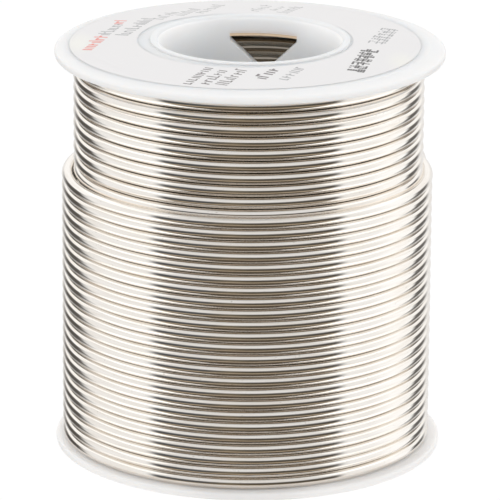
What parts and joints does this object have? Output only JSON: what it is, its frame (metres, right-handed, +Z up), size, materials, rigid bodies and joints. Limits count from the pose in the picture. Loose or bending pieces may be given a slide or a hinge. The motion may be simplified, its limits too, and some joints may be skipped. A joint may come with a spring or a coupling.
{
  "type": "solder wire spool",
  "caption": "White plastic spool of bright solid solder wire, wound in level layers on a windowed barrel between two thin flanges, with a ring label and an open spindle bore.",
  "frame": {"origin": "on the spool's axis, level with the lower end of the barrel, which the spool stands on", "axes": "+Z up along the spool's axis, towards the labelled flange; -Y is the front, so the wire's free end is at the back"},
  "size_m": [0.054, 0.054, 0.0594],
  "materials": {
    "white_plastic": "satin moulded plastic, slightly translucent",
    "label_paper": "smooth white printed paper",
    "solder": "bright drawn tin alloy with a faint warm tint"
  },
  "bodies": {
    "spool": {"spool_barrel": "white_plastic", "top_flange": "white_plastic", "bottom_flange": "white_plastic", "paper_label": "label_paper", "wire_layer_1": "solder", "wire_layer_2": "solder", "wire_layer_3": "solder", "wire_layer_4": "solder", "wire_layer_5": "solder", "wire_layer_6": "solder", "wire_layer_7": "solder", "wire_layer_8": "solder"},
    "wire_end": {"wire_free_end": "solder"}
  },
  "joints": [
    {"name": "free_end_bend", "type": "hinge", "parent": "spool", "child": "wire_end", "pos_m": [-0.00499, 0.0257, 0.04174], "axis": [0, 0, -1], "range_deg": [0, 60]}
  ]
}
